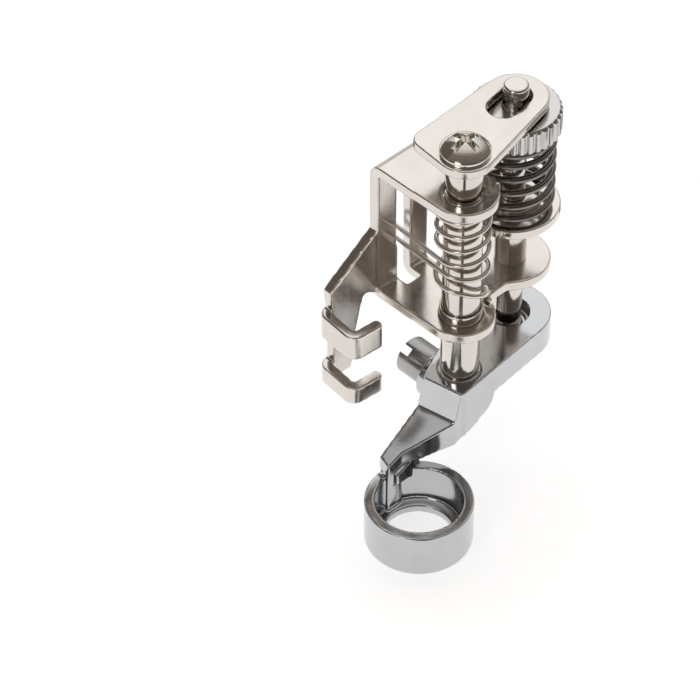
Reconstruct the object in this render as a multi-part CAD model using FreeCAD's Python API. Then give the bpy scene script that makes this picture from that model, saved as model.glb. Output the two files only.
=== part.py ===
import FreeCAD, Part
import math
import os

from FreeCAD import Vector

# Free-motion presser foot with a ring, a sprung carriage and a knurled height nut, in millimetres.
# The origin lies on the needle axis, on the sole of the ring. +Z is up, +X points from the ring
# towards the rear rod, and +Y points towards the folded wall of the claw bracket.

# Clearances between pieces
RUN_CLEAR = 0.05
SEAT_CLEAR = 0.01
NUT_CLEAR = 0.35
POST_HOLE_CLEAR = 0.15

# Upright axes
FRONT_X = 12.03
FRONT_Y = 5.70
REAR_X = 23.0
REAR_Y = 8.64

# Ring round the needle
RING_R = 6.35
RING_HEIGHT = 6.2
RING_BORE_R = 5.1
RING_SOLE_ROUND = 0.8
LIP_R = 4.0
LIP_HEIGHT = 1.3
LIP_EDGE_HEIGHT = 0.97

# Leg that joins the ring to the arm, inside the ring's wall
LEG_FRONT_X = -0.4
LEG_WIDTH = 2.07
LEG_INNER_Y = 4.7
LEG_OUTER_Y = 6.1
WEB_THICK = 1.2
WEB_REACH = 2.6

# Cast arm and plate. The arm's front face and ledge run askew by SKEW for each mm along Y.
CAST_TOP_Z = 15.13
CAST_THICK = 3.8
CAST_REAR_R = 5.1
CAST_CORNER_R = 0.45
PLATE_RIGHT_X = 9.11
PLATE_RIGHT_Y = 2.23
PLATE_LEFT_X = 8.17
PLATE_LEFT_Y = 7.87
SKEW = -0.2
FACE_RUN = 1.2
LEDGE_DROP = 3.73
LEDGE_ROUND = 0.5
LEDGE_WIDTH = 5.2
LEDGE_RIGHT_Y = 2.19
TIP_Z = 8.6
TIP_THICK = 1.85
TIP_LEFT_X = 0.0
TIP_LEFT_Y = 6.5

# Mounting pin and its boss
PIN_X = 12.0
PIN_DROP = 3.13
PIN_R = 2.35
PIN_END_Y = 13.8
PIN_CHAMFER = 0.25
PIN_SPIGOT_R = 1.6
PIN_SPIGOT_LENGTH = 5.2
PIN_SLOT_WIDTH = 1.0
PIN_SLOT_DEPTH = 1.4
PIN_SLOT_TURN = -36.0
BOSS_R = 3.0
BOSS_DROP = 0.4
BOSS_END_Y = 9.8
PIN_FLAT_RUN = 3.3

# Front post, rear rod and what they carry
POST_R = 2.25
POST_SPIGOT_R = 1.6
POST_SPIGOT_DEPTH = 1.35
POST_GROOVE_R = 2.6
POST_GROOVE_DEPTH = 0.3
ROD_R = 1.48
ROD_FOOT_R = 1.65
ROD_WELL_R = 2.6
ROD_WELL_DEPTH = 1.6
ROD_PROUD = 1.6
ROD_CHAMFER = 0.3
SPACER_FOOT_R = 1.95
SPACER_HEAD_R = 2.4
PLATE_T = 1.15
PLATE_GAP = 4.65
PLATE_FRONT_R = 3.4
PLATE_REAR_R = 3.79
PLATE_CORNER_R = 1.8
PLATE_CORNER_X = 10.8
PLATE_CORNER_Y = 10.0
SLOT_HOLE_R = 1.85
SLOT_HOLE_RUN_X = -2.5
SLOT_HOLE_RUN_Y = -0.44

# Top screw
SCREW_HEAD_R = 2.9
SCREW_HEAD_HEIGHT = 1.9
SCREW_RIM = 0.5
SCREW_R = 1.2
SCREW_LENGTH = 10.0
RECESS_SPAN = 3.6
RECESS_WIDTH = 0.75
RECESS_DEPTH = 1.1

# Claw bracket, folded from one sheet
SHEET = 1.3
BRACKET_LIFT = 7.51
BRACKET_HEIGHT = 19.56
BRACKET_LEFT_X = 7.9
BRACKET_RIGHT_X = 16.0
WALL_Y = 15.1
BEND_OUT_R = 1.6
BEND_IN_R = 0.3
FRONT_LOBE_R = 3.99
REAR_LOBE_R = 4.74
WAIST_Y = 5.45
WAIST_ROUND = 1.2
WAIST_TURN_X = 16.5
WAIST_TURN_Y = 7.23
BUSH_R = 2.52
BUSH_HEIGHT = 2.6
WALL_SLOT_X = 11.0
WALL_SLOT_WIDTH = 2.2
WALL_SLOT_TOP = 1.4
NOTCH_Y = 13.35
LUG_X = 15.05
LUG_Y = 4.15
LUG_WIDTH = 1.3
LUG_ROUND = 0.45
LUG_THICK = 1.1
LUG_HEIGHT = 1.7

# Arm of the bracket and its two claws, before the arm is folded outwards
ARM_TURN = -5.0
ARM_ROOT_X = 8.4
ARM_TOP_RISE = 8.86
ARM_FOLD_RISE = 4.66
ARM_SHOULDER_X = 1.0
ARM_SHOULDER_RISE = 3.06
ARM_CROOK_X = 6.0
ARM_CROOK_RISE = 0.36
ARM_WAIST_X = 4.7
ARM_WAIST_DROP = 5.44
ARM_FOOT_X = 4.2
CLAW_LENGTH = 6.6
CLAW_REACH = 4.6
CLAW_BEND_R = 1.5
CLAW_TIP_ROUND = 0.5
UPPER_CLAW_TOP = 0.2
UPPER_CLAW_HEIGHT = 3.4
CLAW_GAP = 4.6
LOWER_CLAW_HEIGHT = 2.4

# Spring seat on the rear rod
SEAT_TUBE_R = 1.88
SEAT_TUBE_HEIGHT = 7.26
SEAT_DISC_R = 5.58
SEAT_DISC_T = 1.2
SEAT_HUB_R = 3.2
SEAT_HUB_HEIGHT = 1.0

# Springs
MAIN_SPRING_R = 4.45
MAIN_WIRE_R = 0.42
MAIN_SPRING_TURNS = 4.4
MAIN_END_TURNS = 0.8
MAIN_END_GAP = 0.06
WIRE_SIDES = 8
COIL_STEPS = 20
SMALL_SPRING_R = 3.0
SMALL_WIRE_R = 0.28
SMALL_PITCH = 2.2
SMALL_TOP_GAP = 0.4
SMALL_UPPER_TURNS = 3.3
SMALL_LOWER_TURNS = 1.3
SMALL_GAP = 1.5
SMALL_LEFT_TURN = 0.5
TAIL_R = 2.65
TAIL_TURNS = 0.4
TAIL_END_RISE = 1.96
LOOP_IN = 0.9
LOOP_REACH = 0.35
LOOP_STEPS = 6
LOOP_UPPER_RISE = 6.6
LOOP_LOWER_RISE = 4.75

# Height nut
NUT_R = 5.33
NUT_HEIGHT = 3.0
NUT_RIBS = 48
NUT_RIB_DEPTH = 0.26
NUT_CHAMFER = 0.3
RIB_TOP_START = 0.3
RIB_TOP_END = 0.7

# Levels that follow from the sizes above
CAST_BOTTOM_Z = CAST_TOP_Z - CAST_THICK
LEDGE_Z = CAST_TOP_Z - LEDGE_DROP
PIN_Z = CAST_TOP_Z - PIN_DROP
FLANGE_Z = CAST_TOP_Z + BRACKET_LIFT
FLANGE_TOP_Z = FLANGE_Z + SHEET
BRACKET_TOP_Z = FLANGE_Z + BRACKET_HEIGHT
UPPER_FLANGE_Z = BRACKET_TOP_Z - SHEET
POST_TOP_Z = BRACKET_TOP_Z - POST_GROOVE_DEPTH
PLATE_Z = BRACKET_TOP_Z + PLATE_GAP
PLATE_TOP_Z = PLATE_Z + PLATE_T
ROD_TOP_Z = PLATE_TOP_Z + ROD_PROUD
NUT_TOP_Z = PLATE_Z - NUT_CLEAR
NUT_Z = NUT_TOP_Z - NUT_HEIGHT
SEAT_DISC_Z = FLANGE_TOP_Z + SEAT_TUBE_HEIGHT
SEAT_TOP_Z = SEAT_DISC_Z + SEAT_DISC_T
WALL_OUT_Y = WALL_Y + SHEET
UPPER_CLAW_Z = FLANGE_TOP_Z + UPPER_CLAW_TOP - UPPER_CLAW_HEIGHT
LOWER_CLAW_Z = UPPER_CLAW_Z - CLAW_GAP - LOWER_CLAW_HEIGHT

FRONT = (FRONT_X, FRONT_Y)
REAR = (REAR_X, REAR_Y)
UP = Vector(0, 0, 1)


def on_circle(x, y, radius, angle):
    """Point at an angle on a circle in the XY plane."""
    return Vector(x + radius * math.cos(angle), y + radius * math.sin(angle), 0)


def belt(circles):
    """Face inside a tight belt round circles (x, y, radius), listed anticlockwise."""
    count = len(circles)
    normals = []
    for index in range(count):
        x1, y1, r1 = circles[index]
        x2, y2, r2 = circles[(index + 1) % count]
        heading = math.atan2(y2 - y1, x2 - x1)
        reach = math.hypot(x2 - x1, y2 - y1)
        normals.append(heading - math.acos((r1 - r2) / reach))
    edges = []
    for index in range(count):
        x1, y1, r1 = circles[index]
        x2, y2, r2 = circles[(index + 1) % count]
        angle = normals[index]
        edges.append(Part.makeLine(on_circle(x1, y1, r1, angle), on_circle(x2, y2, r2, angle)))
        if r2 > 0:
            turn = (normals[(index + 1) % count] - angle) % (2 * math.pi)
            stops = [on_circle(x2, y2, r2, angle + turn * part) for part in (0, 0.5, 1)]
            edges.append(Part.Arc(*stops).toShape())
    return Part.Face(Part.Wire(edges))


def rounded(points):
    """Face inside corners (x, y, radius). A radius of 0 leaves the corner sharp."""
    count = len(points)
    stops = []
    for index in range(count):
        corner = Vector(points[index][0], points[index][1], 0)
        before = Vector(points[index - 1][0], points[index - 1][1], 0)
        after = Vector(points[(index + 1) % count][0], points[(index + 1) % count][1], 0)
        radius = points[index][2]
        if radius == 0:
            stops.append((corner, None, corner))
            continue
        back = (before - corner).normalize()
        onward = (after - corner).normalize()
        half = back.getAngle(onward) / 2
        inward = (back + onward).normalize()
        cut = radius / math.tan(half)
        middle = corner + inward * (radius / math.sin(half) - radius)
        stops.append((corner + back * cut, middle, corner + onward * cut))
    edges = []
    for index in range(count):
        start, middle, end = stops[index]
        if middle is not None:
            edges.append(Part.Arc(start, middle, end).toShape())
        edges.append(Part.makeLine(end, stops[(index + 1) % count][0]))
    return Part.Face(Part.Wire(edges))


def upright_xz(face):
    """Turn a face drawn in XY so that its second axis points up."""
    return face.rotate(Vector(0, 0, 0), Vector(1, 0, 0), 90)


def upright_yz(face):
    """Turn a face drawn in XY so that its first axis is Y and its second points up."""
    return upright_xz(face).rotate(Vector(0, 0, 0), UP, 90)


def lathe(points, axis=(0, 0)):
    """Solid turned about an upright axis from corners (radius, height, rounding)."""
    solid = upright_xz(rounded(points)).revolve(Vector(0, 0, 0), UP, 360)
    return solid.translate(Vector(axis[0], axis[1], 0))


def prism(face, bottom, height):
    """Solid from a plan outline, between a level and a height above it."""
    return face.translate(Vector(0, 0, bottom)).extrude(Vector(0, 0, height))


def cylinder(axis, radius, bottom, top):
    """Upright cylinder between two levels."""
    return Part.makeCylinder(radius, top - bottom, Vector(axis[0], axis[1], bottom))


def box(x0, x1, y0, y1, z0, z1):
    """Box between two corners."""
    return Part.makeBox(x1 - x0, y1 - y0, z1 - z0, Vector(x0, y0, z0))


def wire_along(points, radius):
    """Solid of round wire that follows points, as a ruled loft of many-sided sections."""
    sections = []
    side = None
    for index, point in enumerate(points):
        before = points[max(index - 1, 0)]
        after = points[min(index + 1, len(points) - 1)]
        along = (after - before).normalize()
        if side is None:
            side = along.cross(UP)
        side = (side - along * side.dot(along)).normalize()
        other = along.cross(side)
        corners = []
        for step in range(WIRE_SIDES + 1):
            angle = 2 * math.pi * (step % WIRE_SIDES) / WIRE_SIDES
            corners.append(point + (side * math.cos(angle) + other * math.sin(angle)) * radius)
        sections.append(Part.makePolygon(corners))
    return Part.makeLoft(sections, True, True)


def coil_points(axis, radius, levels):
    """Points round an axis through stops (turn, height), joined by straight climbs."""
    points = []
    for (turn_a, level_a), (turn_b, level_b) in zip(levels, levels[1:]):
        steps = max(1, round(abs(turn_b - turn_a) * COIL_STEPS))
        for step in range(steps):
            share = step / steps
            points.append(coil_point(axis, radius, level_a + (level_b - level_a) * share,
                                     turn_a + (turn_b - turn_a) * share))
    points.append(coil_point(axis, radius, levels[-1][1], levels[-1][0]))
    return points


def coil_point(axis, radius, level, turn):
    """Point on a coil's wire centre at a share of a full turn from +X."""
    angle = turn * 2 * math.pi
    return Vector(axis[0] + radius * math.cos(angle), axis[1] + radius * math.sin(angle), level)


def ring():
    """Ring with a plain bore over a narrower lip at the sole."""
    profile = [
        (LIP_R, 0, 0),
        (RING_R, 0, RING_SOLE_ROUND),
        (RING_R, RING_HEIGHT, 0),
        (RING_BORE_R, RING_HEIGHT, 0),
        (RING_BORE_R, LIP_HEIGHT, 0),
        (LIP_R, LIP_EDGE_HEIGHT, 0),
    ]
    return lathe(profile)


def leg():
    """Upright leg that grows out of the ring's wall, with a web behind it."""
    leg_back_x = LEG_FRONT_X + LEG_WIDTH
    upright = box(LEG_FRONT_X, leg_back_x, LEG_INNER_Y, LEG_OUTER_Y,
                  LIP_HEIGHT / 2, TIP_Z - TIP_THICK)
    web_outline = rounded([
        (leg_back_x - WEB_THICK, RING_HEIGHT - WEB_THICK, 0),
        (leg_back_x + WEB_REACH, RING_HEIGHT - WEB_THICK, 0),
        (leg_back_x + WEB_REACH, TIP_Z - TIP_THICK + WEB_THICK, 0),
        (leg_back_x - WEB_THICK, TIP_Z - TIP_THICK, 0),
    ])
    web = upright_xz(web_outline).translate(Vector(0, LEG_INNER_Y - WEB_THICK / 2, 0))
    web = web.extrude(Vector(0, WEB_THICK, 0))
    return upright.fuse(web)


def arm_profile():
    """Side of the arm and plate, drawn at the right edge of the plate."""
    far = REAR_X + 2 * CAST_REAR_R
    tip_x = LEG_FRONT_X - LEG_WIDTH
    face_x = PLATE_RIGHT_X - FACE_RUN
    slope = (LEDGE_Z - TIP_Z) / (face_x - LEG_WIDTH / 2)
    under_z = PIN_Z - BOSS_DROP - BOSS_R
    return rounded([
        (tip_x, LEDGE_Z - slope * (face_x - tip_x), 0),
        (face_x, LEDGE_Z, LEDGE_ROUND),
        (PLATE_RIGHT_X, CAST_TOP_Z, 0),
        (far, CAST_TOP_Z, 0),
        (far, CAST_BOTTOM_Z, 0),
        (PIN_X + BOSS_R, CAST_BOTTOM_Z, 0),
        (PIN_X, under_z, 0),
        (LEG_FRONT_X + LEG_WIDTH, TIP_Z - TIP_THICK, 0),
        (tip_x, TIP_Z - TIP_THICK, 0),
    ])


def plate_outline():
    """Plan of the plate: two front corners and the rear lobe."""
    corner = CAST_CORNER_R
    return belt([
        (PLATE_RIGHT_X + corner, PLATE_RIGHT_Y + corner, corner),
        (REAR_X, REAR_Y, CAST_REAR_R),
        (PLATE_LEFT_X + corner, PLATE_LEFT_Y - corner, corner),
    ])


def arm_outline():
    """Plan of the arm, which narrows from the plate to the leg."""
    ledge_x = PLATE_RIGHT_X - FACE_RUN
    return rounded([
        (LEG_FRONT_X, LEG_INNER_Y, 0),
        (LEG_FRONT_X + LEG_WIDTH, LEG_INNER_Y, 0),
        (ledge_x, LEDGE_RIGHT_Y, 0),
        (PLATE_RIGHT_X + BOSS_R, PLATE_RIGHT_Y + CAST_CORNER_R, 0),
        (PLATE_LEFT_X + BOSS_R, PLATE_LEFT_Y, 0),
        (ledge_x + SKEW * LEDGE_WIDTH, LEDGE_RIGHT_Y + LEDGE_WIDTH, 0),
        (TIP_LEFT_X, TIP_LEFT_Y, 0),
    ])


def arm_and_plate():
    """Arm and plate: the side profile, drawn out askew and trimmed to the plan."""
    start_y = PLATE_RIGHT_Y - BOSS_R
    run = REAR_Y + CAST_REAR_R + BOSS_R
    side = upright_xz(arm_profile())
    side = side.translate(Vector(SKEW * (start_y - PLATE_RIGHT_Y), start_y, 0))
    side = side.extrude(Vector(SKEW * run, run, 0))
    plan = plate_outline().fuse(arm_outline()).removeSplitter()
    return side.common(plan.extrude(Vector(0, 0, CAST_TOP_Z + 1)))


def pin_boss():
    """Round boss along Y that takes the mounting pin, flush with the plate's right side."""
    start = Vector(PIN_X, PLATE_RIGHT_Y + CAST_CORNER_R, PIN_Z - BOSS_DROP)
    return Part.makeCylinder(BOSS_R, BOSS_END_Y - start.y, start, Vector(0, 1, 0))


def foot_casting():
    """Ring, leg, arm, plate and boss, cast in one and bored for the posts and pin."""
    body = arm_and_plate()
    body = body.fuse([ring(), leg(), pin_boss()]).removeSplitter()
    spigot_z = CAST_TOP_Z - POST_SPIGOT_DEPTH
    cuts = [
        cylinder(FRONT, POST_GROOVE_R, CAST_TOP_Z - POST_GROOVE_DEPTH, CAST_TOP_Z + 1),
        cylinder(FRONT, POST_SPIGOT_R + SEAT_CLEAR, spigot_z, CAST_TOP_Z),
        cylinder(REAR, ROD_WELL_R, CAST_TOP_Z - ROD_WELL_DEPTH, CAST_TOP_Z + 1),
        cylinder(REAR, ROD_FOOT_R + SEAT_CLEAR, CAST_BOTTOM_Z - 1, CAST_TOP_Z),
        Part.makeCylinder(PIN_SPIGOT_R + SEAT_CLEAR, PIN_SPIGOT_LENGTH + 1,
                          Vector(PIN_X, BOSS_END_Y + 1, PIN_Z), Vector(0, -1, 0)),
        box(PLATE_LEFT_X, PIN_X + PIN_FLAT_RUN, BOSS_END_Y, PIN_END_Y, CAST_BOTTOM_Z - 1, CAST_TOP_Z + 1),
    ]
    return body.cut(cuts)


def mounting_pin():
    """Slotted steel pin whose spigot is pressed into the boss."""
    length = PIN_END_Y - BOSS_END_Y
    turned = lathe([
        (0, -PIN_SPIGOT_LENGTH, 0),
        (PIN_SPIGOT_R, -PIN_SPIGOT_LENGTH, 0),
        (PIN_SPIGOT_R, 0, 0),
        (PIN_R, 0, 0),
        (PIN_R, length - PIN_CHAMFER, 0),
        (PIN_R - PIN_CHAMFER, length, 0),
        (0, length, 0),
    ])
    slot = box(-PIN_SLOT_WIDTH / 2, PIN_SLOT_WIDTH / 2, -2 * PIN_R, 2 * PIN_R,
               length - PIN_SLOT_DEPTH, length + 1)
    slot = slot.rotate(Vector(0, 0, 0), UP, PIN_SLOT_TURN)
    pin = turned.cut(slot)
    pin = pin.rotate(Vector(0, 0, 0), Vector(1, 0, 0), -90)
    return pin.translate(Vector(PIN_X, BOSS_END_Y, PIN_Z))


def front_post():
    """Post that guides the carriage, with a spigot below and a tapped hole above."""
    seat_z = CAST_TOP_Z - POST_GROOVE_DEPTH
    post = lathe([
        (0, CAST_TOP_Z - POST_SPIGOT_DEPTH, 0),
        (POST_SPIGOT_R, CAST_TOP_Z - POST_SPIGOT_DEPTH, 0),
        (POST_SPIGOT_R, seat_z, 0),
        (POST_R, seat_z, 0),
        (POST_R, POST_TOP_Z, 0),
        (0, POST_TOP_Z, 0),
    ], FRONT)
    return post.cut(cylinder(FRONT, SCREW_R + SEAT_CLEAR, PLATE_TOP_Z - SCREW_LENGTH - 1, POST_TOP_Z + 1))


def rear_rod():
    """Stepped rod: its shoulder stops the carriage, and its head stands proud of the top plate."""
    return lathe([
        (0, CAST_BOTTOM_Z, 0),
        (ROD_FOOT_R, CAST_BOTTOM_Z, 0),
        (ROD_FOOT_R, FLANGE_Z, 0),
        (ROD_R, FLANGE_Z, 0),
        (ROD_R, ROD_TOP_Z - ROD_CHAMFER, 0),
        (ROD_R - ROD_CHAMFER, ROD_TOP_Z, 0),
        (0, ROD_TOP_Z, 0),
    ], REAR)


def top_spacer():
    """Tapered spacer between the front post and the top plate."""
    return lathe([
        (SCREW_R + SEAT_CLEAR, POST_TOP_Z, 0),
        (SPACER_FOOT_R, POST_TOP_Z, 0),
        (SPACER_HEAD_R, PLATE_Z, 0),
        (SCREW_R + SEAT_CLEAR, PLATE_Z, 0),
    ], FRONT)


def top_plate():
    """Flat plate that ties the post and the rod, with a slot for the rod's head."""
    outline = belt([
        (FRONT_X, FRONT_Y, PLATE_FRONT_R),
        (REAR_X, REAR_Y, PLATE_REAR_R),
        (PLATE_CORNER_X, PLATE_CORNER_Y, PLATE_CORNER_R),
    ])
    plate = prism(outline, PLATE_Z, PLATE_T)
    slot = belt([
        (REAR_X, REAR_Y, SLOT_HOLE_R),
        (REAR_X + SLOT_HOLE_RUN_X, REAR_Y + SLOT_HOLE_RUN_Y, SLOT_HOLE_R),
    ])
    screw_hole = cylinder(FRONT, SCREW_R + SEAT_CLEAR, PLATE_Z - 1, PLATE_TOP_Z + 1)
    return plate.cut([prism(slot, PLATE_Z - 1, PLATE_T + 2), screw_hole])


def top_screw():
    """Pan-head screw with a cross recess that clamps the top plate and the spacer."""
    dome_r = (SCREW_HEAD_R ** 2 + (SCREW_HEAD_HEIGHT - SCREW_RIM) ** 2)
    dome_r = dome_r / (2 * (SCREW_HEAD_HEIGHT - SCREW_RIM))
    top_z = PLATE_TOP_Z + SCREW_HEAD_HEIGHT
    head = cylinder(FRONT, SCREW_HEAD_R, PLATE_TOP_Z, top_z)
    head = head.common(Part.makeSphere(dome_r, Vector(FRONT_X, FRONT_Y, top_z - dome_r)))
    shank = cylinder(FRONT, SCREW_R, PLATE_TOP_Z - SCREW_LENGTH, PLATE_TOP_Z + SCREW_RIM)
    recess_z = top_z - RECESS_DEPTH
    for turn in (0, 90):
        arm = box(-RECESS_SPAN / 2, RECESS_SPAN / 2, -RECESS_WIDTH / 2, RECESS_WIDTH / 2,
                  recess_z, top_z + 1)
        arm = arm.rotate(Vector(0, 0, 0), UP, turn).translate(Vector(FRONT_X, FRONT_Y, 0))
        head = head.cut(arm)
    return head.fuse(shank).removeSplitter()


def bracket_profile():
    """Upright section of the folded sheet: lower flange, wall and upper flange."""
    front_y = FRONT_Y + FRONT_LOBE_R
    return rounded([
        (front_y, FLANGE_Z, 0),
        (WALL_OUT_Y, FLANGE_Z, BEND_OUT_R),
        (WALL_OUT_Y, BRACKET_TOP_Z, BEND_OUT_R),
        (front_y, BRACKET_TOP_Z, 0),
        (front_y, UPPER_FLANGE_Z, 0),
        (WALL_Y, UPPER_FLANGE_Z, BEND_IN_R),
        (WALL_Y, FLANGE_TOP_Z, BEND_IN_R),
        (front_y, FLANGE_TOP_Z, 0),
    ])


def folded_wall():
    """Sheet folded twice, with the slot that runs down the wall into the lower flange."""
    width = BRACKET_RIGHT_X - BRACKET_LEFT_X
    sheet = upright_yz(bracket_profile()).translate(Vector(BRACKET_LEFT_X, 0, 0))
    sheet = sheet.extrude(Vector(width, 0, 0))
    return sheet


def lobe_outline():
    """Plan of a flange from the wall to the lobe round the front post."""
    inner_y = WALL_Y - BEND_OUT_R
    return belt([
        (FRONT_X, FRONT_Y, FRONT_LOBE_R),
        (BRACKET_RIGHT_X, inner_y, 0),
        (BRACKET_LEFT_X, inner_y, 0),
    ])


def rear_outline():
    """Plan of the lower flange round the rear rod."""
    inner_y = WALL_Y - BEND_OUT_R
    lobe = belt([
        (REAR_X, REAR_Y, REAR_LOBE_R),
        (BRACKET_RIGHT_X, inner_y, 0),
        (WAIST_TURN_X, WAIST_TURN_Y, 0),
    ])
    waist = rounded([
        (FRONT_X, WAIST_Y, 0),
        (REAR_X - REAR_LOBE_R + WAIST_ROUND, WAIST_Y, 0),
        (REAR_X, REAR_Y, 0),
        (BRACKET_RIGHT_X, inner_y, 0),
        (FRONT_X, inner_y, 0),
    ])
    return lobe.fuse(waist)


def spring_lug():
    """Tab turned up from the edge of the front lobe, for the end of the bracket spring."""
    tab = rounded([
        (LUG_X, FLANGE_Z, 0),
        (LUG_X + LUG_WIDTH, FLANGE_Z, 0),
        (LUG_X + LUG_WIDTH, FLANGE_TOP_Z + LUG_HEIGHT, LUG_ROUND),
        (LUG_X, FLANGE_TOP_Z + LUG_HEIGHT, LUG_ROUND),
    ])
    return upright_xz(tab).translate(Vector(0, LUG_Y, 0)).extrude(Vector(0, LUG_THICK, 0))


def claw(bottom, height):
    """One claw: the sheet turned forwards and then back across, open towards +X."""
    front_y = WALL_OUT_Y - CLAW_LENGTH
    outline = rounded([
        (ARM_FOOT_X, WALL_OUT_Y, 0),
        (0, WALL_OUT_Y, CLAW_BEND_R),
        (0, front_y, CLAW_BEND_R),
        (CLAW_REACH, front_y, CLAW_TIP_ROUND),
        (CLAW_REACH, front_y + SHEET, CLAW_TIP_ROUND),
        (SHEET, front_y + SHEET, BEND_IN_R),
        (SHEET, WALL_Y, BEND_IN_R),
        (ARM_FOOT_X, WALL_Y, 0),
    ])
    return prism(outline, bottom, height)


def claw_arm():
    """Arm that leaves the wall at a diagonal fold and carries both claws."""
    outline = rounded([
        (BRACKET_LEFT_X, FLANGE_TOP_Z + ARM_TOP_RISE, 0),
        (ARM_SHOULDER_X, FLANGE_TOP_Z + ARM_SHOULDER_RISE, CLAW_TIP_ROUND),
        (CLAW_BEND_R, UPPER_CLAW_Z + UPPER_CLAW_HEIGHT / 2, 0),
        (CLAW_BEND_R, LOWER_CLAW_Z, 0),
        (ARM_FOOT_X, LOWER_CLAW_Z, 0),
        (ARM_WAIST_X, FLANGE_TOP_Z - ARM_WAIST_DROP, 0),
        (ARM_CROOK_X, FLANGE_TOP_Z + ARM_CROOK_RISE, CLAW_TIP_ROUND),
        (BRACKET_LEFT_X, FLANGE_Z + SHEET / 2, 0),
        (WALL_SLOT_X, FLANGE_TOP_Z, 0),
        (WALL_SLOT_X, FLANGE_TOP_Z + ARM_FOLD_RISE, 0),
    ])
    plate = upright_xz(outline).translate(Vector(0, WALL_Y, 0)).extrude(Vector(0, SHEET, 0))
    claws = [
        claw(UPPER_CLAW_Z, UPPER_CLAW_HEIGHT),
        claw(LOWER_CLAW_Z, LOWER_CLAW_HEIGHT),
    ]
    arm = plate.fuse(claws)
    return arm.rotate(Vector(ARM_ROOT_X, WALL_Y, 0), UP, ARM_TURN)


def claw_bracket():
    """Whole bracket: flanges, slotted wall, lug and claw arm, folded from one sheet."""
    lower = prism(lobe_outline().fuse(rear_outline()).removeSplitter(), FLANGE_Z, SHEET)
    upper = prism(lobe_outline(), UPPER_FLANGE_Z, SHEET)
    body = folded_wall().fuse([lower, upper, claw_arm(), spring_lug()]).removeSplitter()
    cuts = [
        box(WALL_SLOT_X, WALL_SLOT_X + WALL_SLOT_WIDTH, NOTCH_Y, WALL_OUT_Y + BEND_OUT_R,
            FLANGE_Z - 1, UPPER_FLANGE_Z - WALL_SLOT_TOP),
        cylinder(FRONT, BUSH_R + SEAT_CLEAR, FLANGE_Z - 1, FLANGE_TOP_Z + 1),
        cylinder(FRONT, POST_R + POST_HOLE_CLEAR, UPPER_FLANGE_Z - 1, BRACKET_TOP_Z + 1),
        cylinder(REAR, ROD_R + RUN_CLEAR, FLANGE_Z - 1, FLANGE_TOP_Z + 1),
    ]
    return body.cut(cuts)


def guide_bush():
    """Thin bush pressed into the lower flange, running on the front post."""
    return lathe([
        (POST_R + RUN_CLEAR, FLANGE_Z, 0),
        (BUSH_R, FLANGE_Z, 0),
        (BUSH_R, FLANGE_Z + BUSH_HEIGHT, 0),
        (POST_R + RUN_CLEAR, FLANGE_Z + BUSH_HEIGHT, 0),
    ], FRONT)


def spring_seat():
    """Flanged tube on the rear rod that carries the main spring."""
    bore = ROD_R + RUN_CLEAR
    return lathe([
        (bore, FLANGE_TOP_Z, 0),
        (SEAT_TUBE_R, FLANGE_TOP_Z, 0),
        (SEAT_TUBE_R, SEAT_DISC_Z, 0),
        (SEAT_DISC_R, SEAT_DISC_Z, 0),
        (SEAT_DISC_R, SEAT_TOP_Z, 0),
        (SEAT_HUB_R, SEAT_TOP_Z, 0),
        (SEAT_HUB_R, SEAT_TOP_Z + SEAT_HUB_HEIGHT, 0),
        (bore, SEAT_TOP_Z + SEAT_HUB_HEIGHT, 0),
    ], REAR)


def main_spring():
    """Compression spring with closed ends, between the seat and the height nut."""
    closed_rise = (2 * MAIN_WIRE_R + MAIN_END_GAP) * MAIN_END_TURNS
    bottom = SEAT_TOP_Z + MAIN_WIRE_R
    top = NUT_Z - MAIN_WIRE_R
    last_turn = MAIN_END_TURNS + MAIN_SPRING_TURNS
    levels = [
        (0, bottom),
        (MAIN_END_TURNS, bottom + closed_rise),
        (last_turn, top - closed_rise),
        (last_turn + MAIN_END_TURNS, top),
    ]
    return wire_along(coil_points(REAR, MAIN_SPRING_R, levels), MAIN_WIRE_R)


def bracket_spring():
    """Double spring on the front post, with a loop through the wall's slot and a tail on the lug."""
    top = UPPER_FLANGE_Z - SMALL_TOP_GAP
    upper_z = top - SMALL_PITCH * SMALL_UPPER_TURNS
    lower_top_z = upper_z - SMALL_GAP
    lower_z = lower_top_z - SMALL_PITCH * SMALL_LOWER_TURNS
    loop_x = WALL_SLOT_X + LOOP_IN
    loop_y = WALL_OUT_Y + LOOP_REACH
    loop_top = FLANGE_TOP_Z + LOOP_UPPER_RISE
    loop_foot = FLANGE_TOP_Z + LOOP_LOWER_RISE
    points = coil_points(FRONT, SMALL_SPRING_R, [
        (SMALL_LEFT_TURN + SMALL_UPPER_TURNS, top),
        (SMALL_LEFT_TURN, upper_z),
    ])
    loop_r = (loop_top - loop_foot) / 2
    for step in range(LOOP_STEPS + 1):
        angle = math.pi * (1 / 2 - step / LOOP_STEPS)
        level = loop_foot + loop_r * (1 + math.sin(angle))
        points.append(Vector(loop_x, loop_y + loop_r * math.cos(angle), level))
    tail_turn = SMALL_LEFT_TURN - SMALL_LOWER_TURNS
    tail_end_z = FLANGE_TOP_Z + TAIL_END_RISE
    points.extend(coil_points(FRONT, SMALL_SPRING_R, [(SMALL_LEFT_TURN, lower_top_z), (tail_turn, lower_z)]))
    points.pop()
    points.extend(coil_points(FRONT, TAIL_R, [(tail_turn, lower_z), (tail_turn - TAIL_TURNS, tail_end_z)]))
    return wire_along(points, SMALL_WIRE_R)


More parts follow.
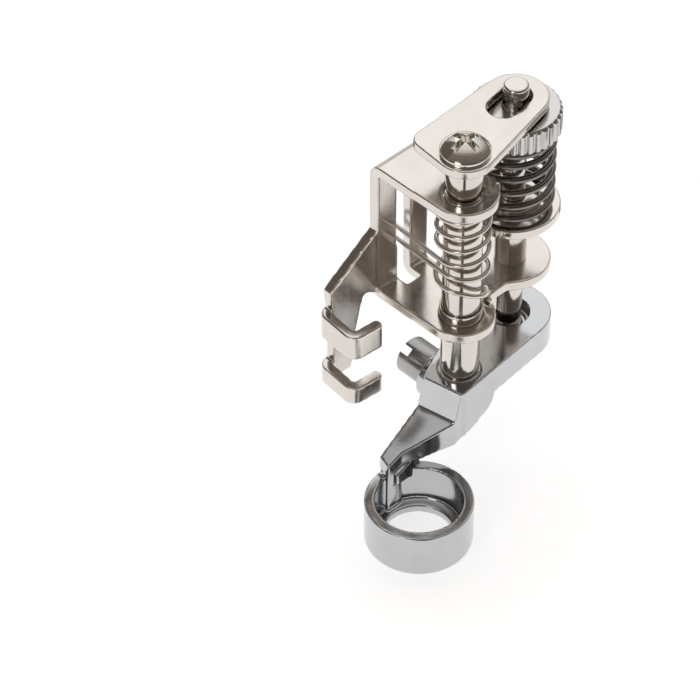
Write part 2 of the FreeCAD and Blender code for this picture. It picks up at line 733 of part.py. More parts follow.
def height_nut():
    """Round nut with straight ribs round its rim."""
    points = []
    step = 2 * math.pi / NUT_RIBS
    for index in range(NUT_RIBS):
        for share, radius in ((0, NUT_R - NUT_RIB_DEPTH), (RIB_TOP_START, NUT_R), (RIB_TOP_END, NUT_R)):
            points.append(on_circle(REAR_X, REAR_Y, radius, (index + share) * step))
    points.append(points[0])
    ribbed = prism(Part.Face(Part.makePolygon(points)), NUT_Z, NUT_HEIGHT)
    envelope = lathe([
        (ROD_R + RUN_CLEAR, NUT_Z, 0),
        (NUT_R - NUT_CHAMFER, NUT_Z, 0),
        (NUT_R, NUT_Z + NUT_CHAMFER, 0),
        (NUT_R, NUT_TOP_Z - NUT_CHAMFER, 0),
        (NUT_R - NUT_CHAMFER, NUT_TOP_Z, 0),
        (ROD_R + RUN_CLEAR, NUT_TOP_Z, 0),
    ], REAR)
    return ribbed.common(envelope)


def main():
    """Build every piece and write it to its own file."""
    os.makedirs("parts", exist_ok=True)
    pieces = {
        "foot_casting": foot_casting,
        "mounting_pin": mounting_pin,
        "front_post": front_post,
        "rear_rod": rear_rod,
        "top_spacer": top_spacer,
        "top_plate": top_plate,
        "top_screw": top_screw,
        "claw_bracket": claw_bracket,
        "guide_bush": guide_bush,
        "spring_seat": spring_seat,
        "main_spring": main_spring,
        "bracket_spring": bracket_spring,
        "height_nut": height_nut,
    }
    for name, build in pieces.items():
        solid = build()
        print(name, len(solid.Solids), solid.isValid(), round(solid.Volume, 3))
        solid.exportStep("parts/" + name + ".step")


main()
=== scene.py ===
"""Studio scene of a free-motion presser foot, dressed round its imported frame."""

import logging
import math
from dataclasses import dataclass
from enum import Enum

import bmesh
import bpy
import numpy as np
from mathutils import Matrix, Vector


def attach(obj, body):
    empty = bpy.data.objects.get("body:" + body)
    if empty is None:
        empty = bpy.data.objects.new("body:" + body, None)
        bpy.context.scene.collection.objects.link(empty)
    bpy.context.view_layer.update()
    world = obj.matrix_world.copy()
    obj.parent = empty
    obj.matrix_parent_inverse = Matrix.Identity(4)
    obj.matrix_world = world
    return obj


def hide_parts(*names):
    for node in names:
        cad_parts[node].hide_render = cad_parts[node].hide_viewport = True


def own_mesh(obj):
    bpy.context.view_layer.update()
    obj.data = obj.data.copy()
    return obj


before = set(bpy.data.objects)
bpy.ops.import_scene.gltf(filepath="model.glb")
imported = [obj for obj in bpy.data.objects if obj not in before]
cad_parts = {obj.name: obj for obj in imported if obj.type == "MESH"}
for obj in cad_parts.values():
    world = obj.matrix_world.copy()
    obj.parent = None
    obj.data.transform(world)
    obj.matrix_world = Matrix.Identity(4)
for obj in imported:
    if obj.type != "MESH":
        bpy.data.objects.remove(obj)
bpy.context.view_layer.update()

MM = 0.001
LOG = logging.getLogger("presser_foot")

# Sizes shared by several pieces, in millimetres: axes of both posts, and levels
FRONT_AXIS = (12.03, 5.70)
REAR_AXIS = (23.0, 8.64)
SCREW_BORE_R = 1.21
ROD_BORE_R = 1.53
POST_TOP_Z = 41.9
FLANGE_Z = 22.64
SEAT_TOP_Z = 32.4
NUT_LOW_Z = 43.5


class Body(Enum):
    """Bodies of the frame that pieces ride on."""

    FOOT = "foot"
    CARRIAGE = "carriage"
    NUT = "nut"


@dataclass(frozen=True)
class MetalFinish:
    """Plated or bare metal with a fine grain and soft uneven gloss.

    The grain is a stretched noise in Object coordinates; the gloss varies by a broad noise.
    """

    name: str
    color: tuple[float, float, float]
    tint: tuple[float, float, float]
    roughness: float
    roughness_spread: float
    grain_scale: tuple[float, float, float]
    grain_bump: float
    cloud_scale: float = 260.0

    def build(self) -> bpy.types.Material:
        """Make the node material.

        Returns:
            The finished material.
        """
        material = bpy.data.materials.new(self.name)
        material.use_nodes = True
        tree = material.node_tree
        nodes, links = tree.nodes, tree.links
        shader = nodes["Principled BSDF"]
        shader.inputs["Metallic"].default_value = 1.0
        place = nodes.new("ShaderNodeTexCoord")
        stretch = nodes.new("ShaderNodeMapping")
        stretch.inputs["Scale"].default_value = self.grain_scale
        links.new(place.outputs["Object"], stretch.inputs["Vector"])
        grain = nodes.new("ShaderNodeTexNoise")
        grain.inputs["Scale"].default_value = 1.0
        grain.inputs["Detail"].default_value = 4.0
        links.new(stretch.outputs["Vector"], grain.inputs["Vector"])
        cloud = nodes.new("ShaderNodeTexNoise")
        cloud.inputs["Scale"].default_value = self.cloud_scale
        cloud.inputs["Detail"].default_value = 2.0
        links.new(place.outputs["Object"], cloud.inputs["Vector"])
        shade = nodes.new("ShaderNodeMix")
        shade.data_type = "RGBA"
        shade.inputs[6].default_value = (*self.color, 1.0)
        shade.inputs[7].default_value = (*self.tint, 1.0)
        links.new(cloud.outputs["Fac"], shade.inputs[0])
        links.new(shade.outputs[2], shader.inputs["Base Color"])
        gloss = nodes.new("ShaderNodeMapRange")
        gloss.inputs["To Min"].default_value = self.roughness
        gloss.inputs["To Max"].default_value = self.roughness + self.roughness_spread
        links.new(grain.outputs["Fac"], gloss.inputs["Value"])
        links.new(gloss.outputs["Result"], shader.inputs["Roughness"])
        bump = nodes.new("ShaderNodeBump")
        bump.inputs["Strength"].default_value = self.grain_bump
        bump.inputs["Distance"].default_value = 0.02 * MM
        links.new(grain.outputs["Fac"], bump.inputs["Height"])
        links.new(bump.outputs["Normal"], shader.inputs["Normal"])
        return material


CAST_CHROME = MetalFinish("cast_chrome", (0.59, 0.60, 0.61), (0.49, 0.50, 0.51), 0.10, 0.08,
                          (900.0, 900.0, 900.0), 0.10)
SHEET_NICKEL = MetalFinish("sheet_nickel", (0.76, 0.72, 0.68), (0.65, 0.605, 0.56), 0.12, 0.14,
                           (1800.0, 1800.0, 900.0), 0.26)
POST_NICKEL = MetalFinish("post_nickel", (0.75, 0.71, 0.67), (0.64, 0.60, 0.56), 0.08, 0.08,
                          (300.0, 300.0, 2400.0), 0.08)
SCREW_NICKEL = MetalFinish("screw_nickel", (0.86, 0.82, 0.77), (0.76, 0.72, 0.67), 0.08, 0.08,
                           (900.0, 900.0, 900.0), 0.10)
SPRING_NICKEL = MetalFinish("spring_nickel", (0.74, 0.69, 0.64), (0.62, 0.57, 0.52), 0.14, 0.10,
                            (900.0, 900.0, 900.0), 0.08)
# Dark spring steel; its base is darkened further as painted shade, so that the gaps between the coils look
# dark.
SPRING_DARK = MetalFinish("spring_dark", (0.30, 0.275, 0.26), (0.16, 0.145, 0.135), 0.16, 0.10,
                          (700.0, 700.0, 700.0), 0.10)
NUT_NICKEL = MetalFinish("nut_nickel", (0.66, 0.65, 0.63), (0.54, 0.53, 0.52), 0.14, 0.10,
                         (900.0, 900.0, 900.0), 0.10)
PIN_STEEL = MetalFinish("pin_steel", (0.46, 0.45, 0.44), (0.32, 0.31, 0.30), 0.18, 0.12,
                        (2400.0, 300.0, 2400.0), 0.15)


@dataclass(frozen=True)
class Card:
    """Flat dark card that only mirrors see: a corner and two sides, in millimetres."""

    name: str
    corner: tuple[float, float, float]
    side: tuple[float, float, float]
    rise: tuple[float, float, float]
    color: tuple[float, float, float]

    def build(self) -> None:
        """Stand the card in place, seen by mirror rays alone."""
        corner, side, rise = (np.array(value) * MM for value in (self.corner, self.side, self.rise))
        points = np.stack([corner, corner + side, corner + side + rise, corner + rise])
        mesh = bpy.data.meshes.new(self.name)
        mesh.from_pydata(points.tolist(), [], [(0, 1, 2, 3)])
        material = bpy.data.materials.new(self.name)
        material.use_nodes = True
        shader = material.node_tree.nodes["Principled BSDF"]
        shader.inputs["Base Color"].default_value = (0.0, 0.0, 0.0, 1.0)
        shader.inputs["Specular IOR Level"].default_value = 0.0
        shader.inputs["Emission Color"].default_value = (*self.color, 1.0)
        shader.inputs["Emission Strength"].default_value = 1.0
        mesh.materials.append(material)
        card = bpy.data.objects.new(self.name, mesh)
        card.visible_camera = False
        card.visible_diffuse = False
        card.visible_shadow = False
        bpy.context.scene.collection.objects.link(card)


@dataclass(frozen=True)
class Lamp:
    """Square soft lamp that points at the middle of the object, in metres and watts."""

    name: str
    spot: tuple[float, float, float]
    size: float
    power: float
    aim: tuple[float, float, float] = (0.010, 0.006, 0.025)

    def build(self) -> None:
        """Hang the lamp at its spot and turn it to its aim."""
        data = bpy.data.lights.new(self.name, "AREA")
        data.size = self.size
        data.energy = self.power
        lamp = bpy.data.objects.new(self.name, data)
        spot = Vector(self.spot)
        turn = (Vector(self.aim) - spot).to_track_quat("-Z", "Y").to_matrix().to_4x4()
        lamp.matrix_world = Matrix.Translation(spot) @ turn
        bpy.context.scene.collection.objects.link(lamp)


@dataclass(frozen=True)
class Studio:
    """Camera, lamps, floor and world, placed round the object in metres.

    The camera stands at an azimuth and an elevation from an aim point, pushed sideways and up in
    its own plane.
    """

    azimuth_deg: float = -44.0
    elevation_deg: float = 43.764
    distance: float = 428.0 * MM
    aim_height: float = 20.0 * MM
    shift_right: float = -7.92 * MM
    shift_up: float = 7.17 * MM
    lens_mm: float = 196.4
    sensor_mm: float = 36.0
    floor_size: float = 3.0
    floor_color: tuple[float, float, float] = (0.86, 0.86, 0.86)
    floor_camera_color: tuple[float, float, float] = (0.66, 0.66, 0.66)
    floor_glow: float = 0.72
    sky_direction: tuple[float, float, float] = (0.43, 0.45, 0.78)
    sky_stops: tuple[tuple[float, tuple[float, float, float]], ...] = (
        (0.0, (0.11, 0.095, 0.085)),
        (0.55, (0.21, 0.18, 0.16)),
        (0.74, (0.62, 0.60, 0.58)),
        (0.86, (0.78, 0.78, 0.78)),
    )
    lamps: tuple[Lamp, ...] = (
        Lamp("key", (0.29, 0.31, 0.44), 0.40, 0.21),
        Lamp("side", (-0.42, -0.10, 0.30), 0.16, 0.3),
    )
    cards: tuple[Card, ...] = (
        Card("card_front", (-12.0, -9.0, 0.05), (-30.0, -31.0, 0.0), (8.0, -7.7, 0.0),
             (0.09, 0.07, 0.06)),
        Card("card_back", (86.0, -10.0, 0.05), (-110.0, 106.0, 0.0), (60.0, 60.0, 0.0),
             (0.10, 0.08, 0.065)),
        Card("card_right", (44.0, -46.0, 0.05), (30.0, 30.0, 0.0), (40.0, -40.0, 0.0),
             (0.40, 0.38, 0.37)),
        Card("card_sky", (-80.0, 70.0, 55.0), (104.0, 0.0, 0.0), (0.0, 10.0, 120.0),
             (0.12, 0.10, 0.085)),
    )

    def axes(self) -> tuple[Vector, Vector, Vector]:
        """Camera's right, up and backward directions.

        Returns:
            Three unit vectors in the object's frame.
        """
        turn = math.radians(self.azimuth_deg)
        rise = math.radians(self.elevation_deg)
        back = Vector((math.sin(turn) * math.cos(rise), -math.cos(turn) * math.cos(rise), math.sin(rise)))
        right = Vector((math.cos(turn), math.sin(turn), 0.0))
        return right, back.cross(right), back

    def add_camera(self) -> None:
        """Place the camera and make it the scene's own."""
        right, up, back = self.axes()
        data = bpy.data.cameras.new("camera")
        data.lens = self.lens_mm
        data.sensor_width = self.sensor_mm
        data.clip_start = 10 * MM
        camera = bpy.data.objects.new("camera", data)
        turn = Matrix((right, up, back)).transposed().to_4x4()
        spot = Vector((0, 0, self.aim_height)) + back * self.distance
        spot += right * self.shift_right + up * self.shift_up
        camera.matrix_world = Matrix.Translation(spot) @ turn
        bpy.context.scene.collection.objects.link(camera)
        bpy.context.scene.camera = camera

    def add_floor(self) -> None:
        """Lay a pale floor under the ring's sole that looks white and keeps a faint shadow."""
        half = self.floor_size / 2
        mesh = bpy.data.meshes.new("floor")
        mesh.from_pydata([(-half, -half, 0), (half, -half, 0), (half, half, 0), (-half, half, 0)], [],
                         [(0, 1, 2, 3)])
        floor = bpy.data.objects.new("floor", mesh)
        material = bpy.data.materials.new("floor_card")
        material.use_nodes = True
        tree = material.node_tree
        nodes, links = tree.nodes, tree.links
        shader = nodes["Principled BSDF"]
        shader.inputs["Roughness"].default_value = 0.9
        shader.inputs["Specular IOR Level"].default_value = 0.0
        path = nodes.new("ShaderNodeLightPath")
        seen = nodes.new("ShaderNodeMath")
        seen.operation = "MAXIMUM"
        links.new(path.outputs["Is Camera Ray"], seen.inputs[0])
        links.new(path.outputs["Is Glossy Ray"], seen.inputs[1])
        shade = nodes.new("ShaderNodeMix")
        shade.data_type = "RGBA"
        shade.inputs[6].default_value = (*self.floor_color, 1.0)
        shade.inputs[7].default_value = (*self.floor_camera_color, 1.0)
        links.new(seen.outputs["Value"], shade.inputs[0])
        links.new(shade.outputs[2], shader.inputs["Base Color"])
        glow = nodes.new("ShaderNodeMath")
        glow.operation = "MULTIPLY"
        glow.inputs[1].default_value = self.floor_glow
        links.new(seen.outputs["Value"], glow.inputs[0])
        shader.inputs["Emission Color"].default_value = (1.0, 1.0, 1.0, 1.0)
        links.new(glow.outputs["Value"], shader.inputs["Emission Strength"])
        mesh.materials.append(material)
        bpy.context.scene.collection.objects.link(floor)

    def light_world(self) -> None:
        """Give the world a soft studio gradient that is white to the camera.

        The gradient follows the dot product of a direction with sky_direction: bright above and
        behind the object, dark in front of it and low down.
        """
        world = bpy.data.worlds.new("studio")
        bpy.context.scene.world = world
        world.use_nodes = True
        tree = world.node_tree
        nodes, links = tree.nodes, tree.links
        back = nodes["Background"]
        place = nodes.new("ShaderNodeTexCoord")
        lean = nodes.new("ShaderNodeVectorMath")
        lean.operation = "DOT_PRODUCT"
        lean.inputs[1].default_value = self.sky_direction
        links.new(place.outputs["Generated"], lean.inputs[0])
        ramp = nodes.new("ShaderNodeValToRGB")
        ends = zip(ramp.color_ramp.elements, (self.sky_stops[0], self.sky_stops[-1]))
        for element, (position, color) in ends:
            element.position = position
            element.color = (*color, 1.0)
        for position, color in self.sky_stops[1:-1]:
            ramp.color_ramp.elements.new(position).color = (*color, 1.0)
        links.new(lean.outputs["Value"], ramp.inputs[0])
        path = nodes.new("ShaderNodeLightPath")
        mix = nodes.new("ShaderNodeMix")
        mix.data_type = "RGBA"
        mix.inputs[7].default_value = (1.0, 1.0, 1.0, 1.0)
        links.new(path.outputs["Is Camera Ray"], mix.inputs[0])
        links.new(ramp.outputs[0], mix.inputs[6])
        links.new(mix.outputs[2], back.inputs["Color"])

    def build(self) -> None:
        """Set up the whole studio."""
        bpy.context.scene.view_settings.view_transform = "Standard"
        self.add_camera()
        self.add_floor()
        self.light_world()
        for item in self.cards + self.lamps:
            item.build()


def mesh_piece(name: str, vertices: np.ndarray, faces: list, smooth_deg: float = 35.0) -> bpy.types.Object:
    """Make an object from vertices in millimetres and faces, shaded smooth up to an angle.

    Args:
        name: The piece's name.
        vertices: An array of points, one row each, in millimetres.
        faces: Lists of vertex numbers.
        smooth_deg: Edges that turn more than this stay sharp.

    Returns:
        The new object, linked to the scene.
    """
    mesh = bpy.data.meshes.new(name)
    mesh.from_pydata((vertices * MM).tolist(), [], faces)
    mesh.validate()
    mesh.shade_smooth()
    mesh.set_sharp_from_angle(angle=math.radians(smooth_deg))
    piece = bpy.data.objects.new(name, mesh)
    bpy.context.scene.collection.objects.link(piece)
    return piece


def grid_faces(rows: int, columns: int, close_rows: bool, close_columns: bool) -> list:
    """Quads of a grid of vertices, row by row.

    Args:
        rows: Count of rows.
        columns: Count of columns.
        close_rows: True if the last row joins the first.
        close_columns: True if the last column joins the first.

    Returns:
        A list of quads.
    """
    row = np.arange(rows if close_rows else rows - 1)
    column = np.arange(columns if close_columns else columns - 1)
    a, b = np.meshgrid(row, column, indexing="ij")
    a2, b2 = (a + 1) % rows, (b + 1) % columns
    quads = np.stack([a * columns + b, a * columns + b2, a2 * columns + b2, a2 * columns + b], axis=-1)
    return quads.reshape(-1, 4).tolist()


def rounded_corners(points: list, steps: int = 6) -> np.ndarray:
    """Round the corners of a closed outline.

    Each corner (x, y, radius) becomes an arc that is tangent to both of its sides: the arc's
    centre lies on the bisector at radius / sin(half the angle).

    Args:
        points: Corners with a radius each.
        steps: Spans in each arc.

    Returns:
        The outline's points.
    """
    out = []
    count = len(points)
    for index in range(count):
        corner = np.array(points[index][:2], float)
        radius = points[index][2]
        if radius <= 0:
            out.append(corner)
            continue
        back = np.array(points[index - 1][:2], float) - corner
        onward = np.array(points[(index + 1) % count][:2], float) - corner
        back /= np.linalg.norm(back)
        onward /= np.linalg.norm(onward)
        half = math.acos(np.clip(back @ onward, -1, 1)) / 2
        middle = (back + onward) / np.linalg.norm(back + onward)
        centre = corner + middle * radius / math.sin(half)
        first = corner + back * radius / math.tan(half) - centre
        last = corner + onward * radius / math.tan(half) - centre
        start = math.atan2(first[1], first[0])
        sweep = (math.atan2(last[1], last[0]) - start + math.pi) % (2 * math.pi) - math.pi
        turn = start + sweep * np.linspace(0, 1, steps + 1)
        out.extend(centre + radius * np.stack([np.cos(turn), np.sin(turn)], axis=1))
    return np.array(out)


def lathe(name: str, profile: list, axis: tuple, segments: int = 96) -> bpy.types.Object:
    """Turn a closed profile of (radius, height, rounding) corners about an upright axis.

    Every profile point (r, z) becomes a ring (r cos t, r sin t, z) with t from 0 to a full turn.

    Args:
        name: The piece's name.
        profile: Corners, in millimetres.
        axis: The axis's place in the plan, in millimetres.
        segments: Spans round the axis.

    Returns:
        The new object.
    """
    outline = rounded_corners(profile)
    turn = np.linspace(0, 2 * math.pi, segments, endpoint=False)
    radius = outline[:, 0][None, :]
    x = axis[0] + radius * np.cos(turn)[:, None]
    y = axis[1] + radius * np.sin(turn)[:, None]
    z = np.broadcast_to(outline[:, 1][None, :], x.shape)
    vertices = np.stack([x, y, z], axis=-1).reshape(-1, 3)
    faces = grid_faces(segments, outline.shape[0], True, True)
    piece = mesh_piece(name, vertices, faces)
    merge_doubles(piece)
    return piece


def merge_doubles(piece: bpy.types.Object, reach: float = 1e-7) -> None:
    """Merge coincident vertices and turn every face outwards.

    Args:
        piece: The object to clean.
        reach: Vertices nearer than this are merged, in metres.
    """
    made = bmesh.new()
    made.from_mesh(piece.data)
    bmesh.ops.remove_doubles(made, verts=made.verts, dist=reach)
    bmesh.ops.dissolve_degenerate(made, edges=made.edges, dist=reach)
    bmesh.ops.recalc_face_normals(made, faces=made.faces)
    made.to_mesh(piece.data)
    made.free()


def sweep_wire(name: str, path: np.ndarray, radius: float, sides: int = 14) -> bpy.types.Object:
    """Carry a round section along a path of points.

    The section's frame is carried along without twist: at each point the last side direction is
    projected square to the path.

    Args:
        name: The piece's name.
        path: Points of the wire's centre, in millimetres.
        radius: The wire's radius, in millimetres.
        sides: Points round the section.

    Returns:
        The new object, with a rounded cap at each end.
    """
    along = np.gradient(path, axis=0)
    along /= np.linalg.norm(along, axis=1)[:, None]
    side = np.zeros_like(path)
    current = np.cross(along[0], (0.0, 0.0, 1.0))
    for index, direction in enumerate(along):
        current = current - direction * (current @ direction)
        current = current / np.linalg.norm(current)
        side[index] = current
    other = np.cross(along, side)
    rows = 5
    cap = np.linspace(0, math.pi / 2, rows)
    start_steps = path[0] - along[0] * (radius * np.cos(cap))[:, None]
    end_steps = path[-1] + along[-1] * (radius * np.cos(cap[::-1]))[:, None]
    spots = np.concatenate([start_steps, path[1:-1], end_steps])
    widths = np.concatenate([np.sin(cap), np.ones(len(path) - 2), np.sin(cap[::-1])])
    widths = np.maximum(widths, 1e-3) * radius
    frames = [np.concatenate([np.repeat(way[:1], rows, 0), way[1:-1], np.repeat(way[-1:], rows, 0)])
              for way in (side, other)]
    turn = np.linspace(0, 2 * math.pi, sides, endpoint=False)[None, :, None]
    ring = np.cos(turn) * frames[0][:, None, :] + np.sin(turn) * frames[1][:, None, :]
    vertices = spots[:, None, :] + ring * widths[:, None, None]
    count = len(spots)
    faces = grid_faces(count, sides, False, True)
    faces.append(list(range(sides))[::-1])
    faces.append([(count - 1) * sides + step for step in range(sides)])
    piece = mesh_piece(name, vertices.reshape(-1, 3), faces, 60.0)
    merge_doubles(piece)
    piece.data.shade_smooth()
    return piece


def dress(piece: bpy.types.Object, material: bpy.types.Material) -> None:
    """Give a piece its one material.

    Args:
        piece: The object to dress.
        material: Its finish.
    """
    piece.data.materials.clear()
    piece.data.materials.append(material)


def softened_copy(node: str, grain_mm: float, steps: int) -> bpy.types.Object:
    """Copy a frame node as a fine even skin and smooth it, so that its sharp edges become round.

    The skin is made at a thousand times the size, because its grain is far below a millimetre.

    Args:
        node: The node's name.
        grain_mm: Side of the skin's squares.
        steps: Passes of smoothing. Each one widens the rounding by about half a square.

    Returns:
        The new object, which stands for the node.
    """
    mesh = bpy.data.meshes.new(node + "_solid")
    made = bmesh.new()
    made.from_mesh(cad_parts[node].data)
    bmesh.ops.scale(made, vec=(1 / MM, 1 / MM, 1 / MM), verts=made.verts)
    bmesh.ops.remove_doubles(made, verts=made.verts, dist=0.002)
    made.to_mesh(mesh)
    made.free()
    piece = bpy.data.objects.new(node + "_smooth", mesh)
    bpy.context.scene.collection.objects.link(piece)
    skin = piece.modifiers.new("skin", "REMESH")
    skin.mode = "VOXEL"
    skin.voxel_size = grain_mm
    skin.use_smooth_shade = True
    soften = piece.modifiers.new("soften", "SMOOTH")
    soften.factor = 0.5
    soften.iterations = steps
    ready = piece.evaluated_get(bpy.context.evaluated_depsgraph_get())
    final = bpy.data.meshes.new_from_object(ready)
    points = np.empty(len(final.vertices) * 3)
    final.vertices.foreach_get("co", points)
    final.vertices.foreach_set("co", points * MM)
    final.update()
    piece.modifiers.clear()
    piece.data = final
    LOG.info("%s: %d faces", piece.name, len(final.polygons))
    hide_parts(node)
    return piece


def coil(axis: tuple[float, float], radius: float, stops: list, per_turn: int = 56) -> np.ndarray:
    """Centre line of a coil through stops (turn, height), joined by straight climbs.

    Args:
        axis: The axis's place in the plan, in millimetres.
        radius: The coil's mean radius, in millimetres.
        stops: Turns from +X and heights, in order.
        per_turn: Points in a full turn.

    Returns:
        Points (axis + radius cos t, axis + radius sin t, z), one row each.
    """
    turns, levels = np.array(stops, float).T
    count = max(2, round(float(np.abs(np.diff(turns)).sum()) * per_turn))
    travel = np.concatenate([[0.0], np.cumsum(np.abs(np.diff(turns)))])
    share = np.linspace(0.0, travel[-1], count)
    turn = np.interp(share, travel, turns) * 2 * math.pi
    z = np.interp(share, travel, levels)
    return np.stack([axis[0] + radius * np.cos(turn), axis[1] + radius * np.sin(turn), z], axis=1)


def eased(path: np.ndarray, spacing: float, reach: float) -> np.ndarray:
    """Resample a path evenly and round its corners with a bell-shaped average.

    Args:
        path: Points, in millimetres.
        spacing: Distance between the new points.
        reach: Width of the bell.

    Returns:
        The new points, which keep both ends.
    """
    steps = np.linalg.norm(np.diff(path, axis=0), axis=1)
    travel = np.concatenate([[0.0], np.cumsum(steps)])
    share = np.arange(0.0, travel[-1], spacing)
    even = np.stack([np.interp(share, travel, path[:, axis]) for axis in range(3)], axis=1)
    half = int(3 * reach / spacing)
    bell = np.exp(-0.5 * (np.arange(-half, half + 1) * spacing / reach) ** 2)
    bell /= bell.sum()
    before = 2 * even[0] - even[half:0:-1]
    after = 2 * even[-1] - even[-2:-half - 2:-1]
    padded = np.concatenate([before, even, after])
    return np.stack([np.convolve(padded[:, axis], bell, "valid") for axis in range(3)], axis=1)


@dataclass
class Foot:
    """The fixed sub-assembly: casting, pin, post, rod, spacer, top plate, screw and main spring."""

    cast_top: float = 15.13
    post_r: float = 2.25
    post_groove: float = 0.3
    post_bore_foot: float = 37.0
    spigot_r: float = 1.6
    spigot_length: float = 1.05
    rod_foot_r: float = 1.65
    rod_foot: float = 11.33
    rod_r: float = 1.48
    rod_top: float = 49.6
    spacer_low_r: float = 1.95
    spacer_high_r: float = 2.4
    spacer_top: float = 46.85
    spring_r: float = 4.45
    spring_wire: float = 0.42
    spring_turns: float = 6.0
    spring_end_turns: float = 0.8
    spring_end_gap: float = 0.06

    def casting(self) -> None:
        """Chromed casting with its edges softened."""
        piece = softened_copy("foot_casting", 0.14, 4)
        dress(piece, CAST_CHROME.build())
        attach(piece, Body.FOOT.value)

    def pin(self) -> None:
        """Slotted steel pin."""
        piece = softened_copy("mounting_pin", 0.07, 3)
        dress(piece, PIN_STEEL.build())
        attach(piece, Body.FOOT.value)

    def post(self) -> None:
        """Front post with a softened top and a bore for the screw."""
        seat = self.cast_top - self.post_groove
        spigot_foot = seat - self.spigot_length
        piece = lathe("post_turned", [
            (SCREW_BORE_R, self.post_bore_foot, 0), (SCREW_BORE_R, POST_TOP_Z, 0.08),
            (self.post_r, POST_TOP_Z, 0.15), (self.post_r, seat, 0.05), (self.spigot_r, seat, 0),
            (self.spigot_r, spigot_foot, 0.1), (0.0, spigot_foot, 0), (0.0, self.post_bore_foot, 0),
        ], FRONT_AXIS)
        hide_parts("front_post")
        dress(piece, POST_NICKEL.build())
        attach(piece, Body.FOOT.value)

    def rod(self) -> None:
        """Rear rod with its shoulder and domed head."""
        piece = lathe("rod_turned", [
            (0.0, self.rod_foot, 0), (self.rod_foot_r, self.rod_foot, 0.15),
            (self.rod_foot_r, FLANGE_Z, 0.1), (self.rod_r, FLANGE_Z, 0), (self.rod_r, self.rod_top, 0.35),
            (0.0, self.rod_top, 0),
        ], REAR_AXIS)
        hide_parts("rear_rod")
        dress(piece, POST_NICKEL.build())
        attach(piece, Body.FOOT.value)

    def spacer(self) -> None:
        """Tapered spacer under the top plate."""
        piece = lathe("spacer_turned", [
            (SCREW_BORE_R, POST_TOP_Z, 0), (self.spacer_low_r, POST_TOP_Z, 0.12),
            (self.spacer_high_r, self.spacer_top, 0.12), (SCREW_BORE_R, self.spacer_top, 0),
        ], FRONT_AXIS)
        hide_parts("top_spacer")
        dress(piece, POST_NICKEL.build())
        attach(piece, Body.FOOT.value)

    def plate(self) -> None:
        """Top plate with softened edges."""
        piece = softened_copy("top_plate", 0.11, 14)
        dress(piece, SHEET_NICKEL.build())
        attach(piece, Body.FOOT.value)

    def screw(self) -> None:
        """Pan-head screw with its cross recess."""
        piece = softened_copy("top_screw", 0.07, 3)
        dress(piece, SCREW_NICKEL.build())
        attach(piece, Body.FOOT.value)

    def main_spring(self) -> None:
        """Dark compression spring with closed ends."""
        ends, turns = self.spring_end_turns, self.spring_turns
        rise = (2 * self.spring_wire + self.spring_end_gap) * ends
        bottom, top = SEAT_TOP_Z + self.spring_wire, NUT_LOW_Z - self.spring_wire
        path = coil(REAR_AXIS, self.spring_r, [
            (0.0, bottom), (ends, bottom + rise), (turns - ends, top - rise), (turns, top),
        ])
        piece = sweep_wire("main_spring_wound", path, self.spring_wire)
        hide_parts("main_spring")
        dress(piece, SPRING_DARK.build())
        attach(piece, Body.FOOT.value)
        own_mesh(piece)

    def build(self) -> None:
        """Make and dress every piece of the foot."""
        for make in (self.casting, self.pin, self.post, self.rod, self.spacer, self.plate, self.screw,
                     self.main_spring):
            make()
            LOG.info("foot: %s", make.__name__)


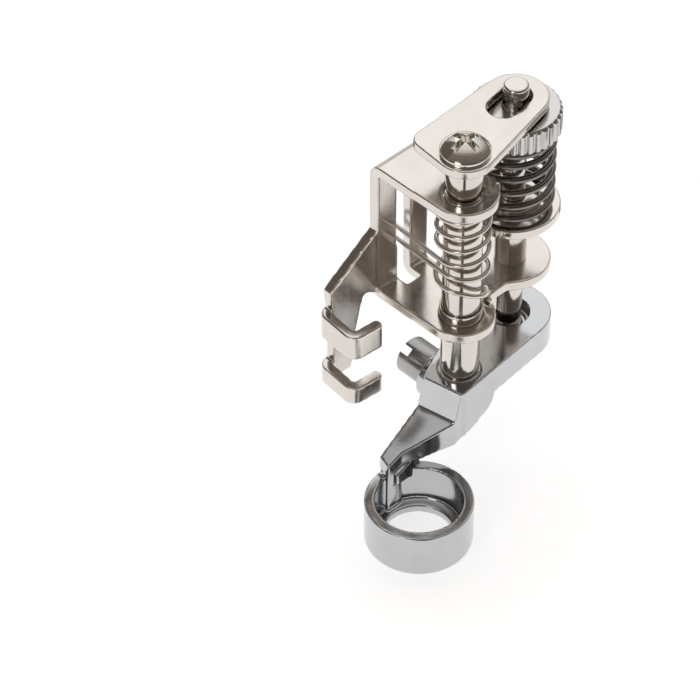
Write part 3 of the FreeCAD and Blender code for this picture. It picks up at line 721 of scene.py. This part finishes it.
@dataclass
class Carriage:
    """The sliding sub-assembly: folded claw bracket, guide bush, spring seat and bracket spring."""

    sheet: float = 1.3
    bush_bore_r: float = 2.3
    bush_r: float = 2.52
    bush_height: float = 2.6
    tube_r: float = 1.88
    disc_r: float = 5.58
    disc_low: float = 31.2
    collar_r: float = 3.2
    collar_height: float = 1.0
    wire: float = 0.28
    coil_r: float = 3.0
    left_turn: float = 0.5
    upper_turns: float = 3.33
    upper_top: float = 40.5
    upper_foot: float = 33.5
    lower_stops: tuple[tuple[float, float], ...] = ((0.5, 31.9), (1.63, 29.5), (1.93, 26.85))
    loop_centre: tuple[float, float, float] = (11.9, 16.75, 29.62)
    loop_r: float = 0.93
    loop_points: int = 9
    hook_r: float = 0.45

    def bracket(self) -> None:
        """Folded bracket with softened edges."""
        piece = softened_copy("claw_bracket", 0.13, 6)
        dress(piece, SHEET_NICKEL.build())
        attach(piece, Body.CARRIAGE.value)

    def bush(self) -> None:
        """Thin bush in the lower flange."""
        piece = lathe("bush_turned", [
            (self.bush_bore_r, FLANGE_Z, 0.04), (self.bush_r, FLANGE_Z, 0.04),
            (self.bush_r, FLANGE_Z + self.bush_height, 0.08),
            (self.bush_bore_r, FLANGE_Z + self.bush_height, 0.08),
        ], FRONT_AXIS)
        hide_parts("guide_bush")
        dress(piece, POST_NICKEL.build())
        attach(piece, Body.CARRIAGE.value)

    def seat(self) -> None:
        """Flanged tube under the main spring."""
        low = FLANGE_Z + self.sheet
        collar_top = SEAT_TOP_Z + self.collar_height
        piece = lathe("seat_turned", [
            (ROD_BORE_R, low, 0), (self.tube_r, low, 0.08), (self.tube_r, self.disc_low, 0.1),
            (self.disc_r, self.disc_low, 0.18), (self.disc_r, SEAT_TOP_Z, 0.18),
            (self.collar_r, SEAT_TOP_Z, 0.1), (self.collar_r, collar_top, 0.15),
            (ROD_BORE_R, collar_top, 0.1),
        ], REAR_AXIS)
        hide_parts("spring_seat")
        dress(piece, POST_NICKEL.build())
        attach(piece, Body.CARRIAGE.value)

    def spring(self) -> None:
        """Double torsion spring: a loop through the wall's slot and a tail hooked over the lug.

        The loop is half a circle in a plane square to X. The hook turns down by half a circle at the
        end of the lower coil, and the tail runs back under it.
        """
        upper = coil(FRONT_AXIS, self.coil_r, [
            (self.left_turn + self.upper_turns, self.upper_top), (self.left_turn, self.upper_foot),
        ])
        turn = np.linspace(math.pi / 2, -math.pi / 2, self.loop_points)
        loop_x, loop_y, loop_z = self.loop_centre
        loop = np.stack([np.full(self.loop_points, loop_x), loop_y + self.loop_r * np.cos(turn),
                         loop_z + self.loop_r * np.sin(turn)], axis=1)
        lower = coil(FRONT_AXIS, self.coil_r, list(self.lower_stops))
        angle = self.lower_stops[-1][0] * 2 * math.pi
        onward = np.array([-math.sin(angle), math.cos(angle), 0.0])
        down = np.array([0, 0, self.hook_r])
        bend = np.linspace(0.3, math.pi, 6)[:, None]
        hook = lower[-1] + onward * self.hook_r * np.sin(bend) - down * (1 - np.cos(bend))
        tail = hook[-1] - onward * np.linspace(0.4, 1.2, 3)[:, None]
        path = eased(np.concatenate([upper, loop, lower, hook, tail]), 0.12, 0.22)
        piece = sweep_wire("bracket_spring_wound", path, self.wire, 12)
        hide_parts("bracket_spring")
        dress(piece, SPRING_NICKEL.build())
        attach(piece, Body.CARRIAGE.value)

    def build(self) -> None:
        """Make and dress every piece of the carriage."""
        for make in (self.bracket, self.bush, self.seat, self.spring):
            make()
            LOG.info("carriage: %s", make.__name__)


@dataclass
class HeightNut:
    """The ribbed nut over the main spring."""

    radius: float = 5.33
    height: float = 3.0
    ribs: int = 34
    rib_spans: int = 14
    depth: float = 0.30
    chamfer: float = 0.36
    sharpness: float = 2.6
    lean: float = 0.4
    fade_start: float = 0.34
    fade_width: float = 0.28

    def build(self) -> None:
        """Make the ribbed nut.

        The rim's radius at a turn t is radius - depth * w, where w is a rounded square wave that
        goes round `ribs` times, with its ribs wider than its grooves:
        w = 0.5 - 0.5 tanh(sharpness (cos(ribs t) + lean)) / tanh(sharpness (1 + lean)).
        The grooves fade out over the chamfer, so that the top face stays flat.
        """
        high = NUT_LOW_Z + self.height
        outline = rounded_corners([
            (ROD_BORE_R, NUT_LOW_Z, 0.1), (self.radius, NUT_LOW_Z, 0.2),
            (self.radius, high - self.chamfer, 0.06), (self.radius - self.chamfer, high, 0.06),
            (ROD_BORE_R, high, 0.1),
        ])
        segments = self.ribs * self.rib_spans
        turn = np.linspace(0, 2 * math.pi, segments, endpoint=False)[:, None]
        swing = np.tanh(self.sharpness * (np.cos(self.ribs * turn) + self.lean))
        wave = 0.5 - 0.5 * swing / math.tanh(self.sharpness * (1 + self.lean))
        near_rim = np.clip((outline[:, 0][None, :] - self.radius + self.fade_start) / self.fade_width, 0, 1)
        radius = outline[:, 0][None, :] - self.depth * wave * near_rim
        z = np.broadcast_to(outline[:, 1][None, :], radius.shape)
        x = REAR_AXIS[0] + radius * np.cos(turn)
        y = REAR_AXIS[1] + radius * np.sin(turn)
        vertices = np.stack([x, y, z], axis=-1)
        faces = grid_faces(segments, outline.shape[0], True, True)
        piece = mesh_piece("nut_ribbed", vertices.reshape(-1, 3), faces, 50.0)
        merge_doubles(piece)
        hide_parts("height_nut")
        dress(piece, NUT_NICKEL.build())
        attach(piece, Body.NUT.value)
        LOG.info("height nut")


def main() -> None:
    """Build the scene, piece by piece."""
    logging.basicConfig(level=logging.INFO, format="%(message)s")
    Studio().build()
    Foot().build()
    Carriage().build()
    HeightNut().build()


if __name__ == "__main__":
    main()
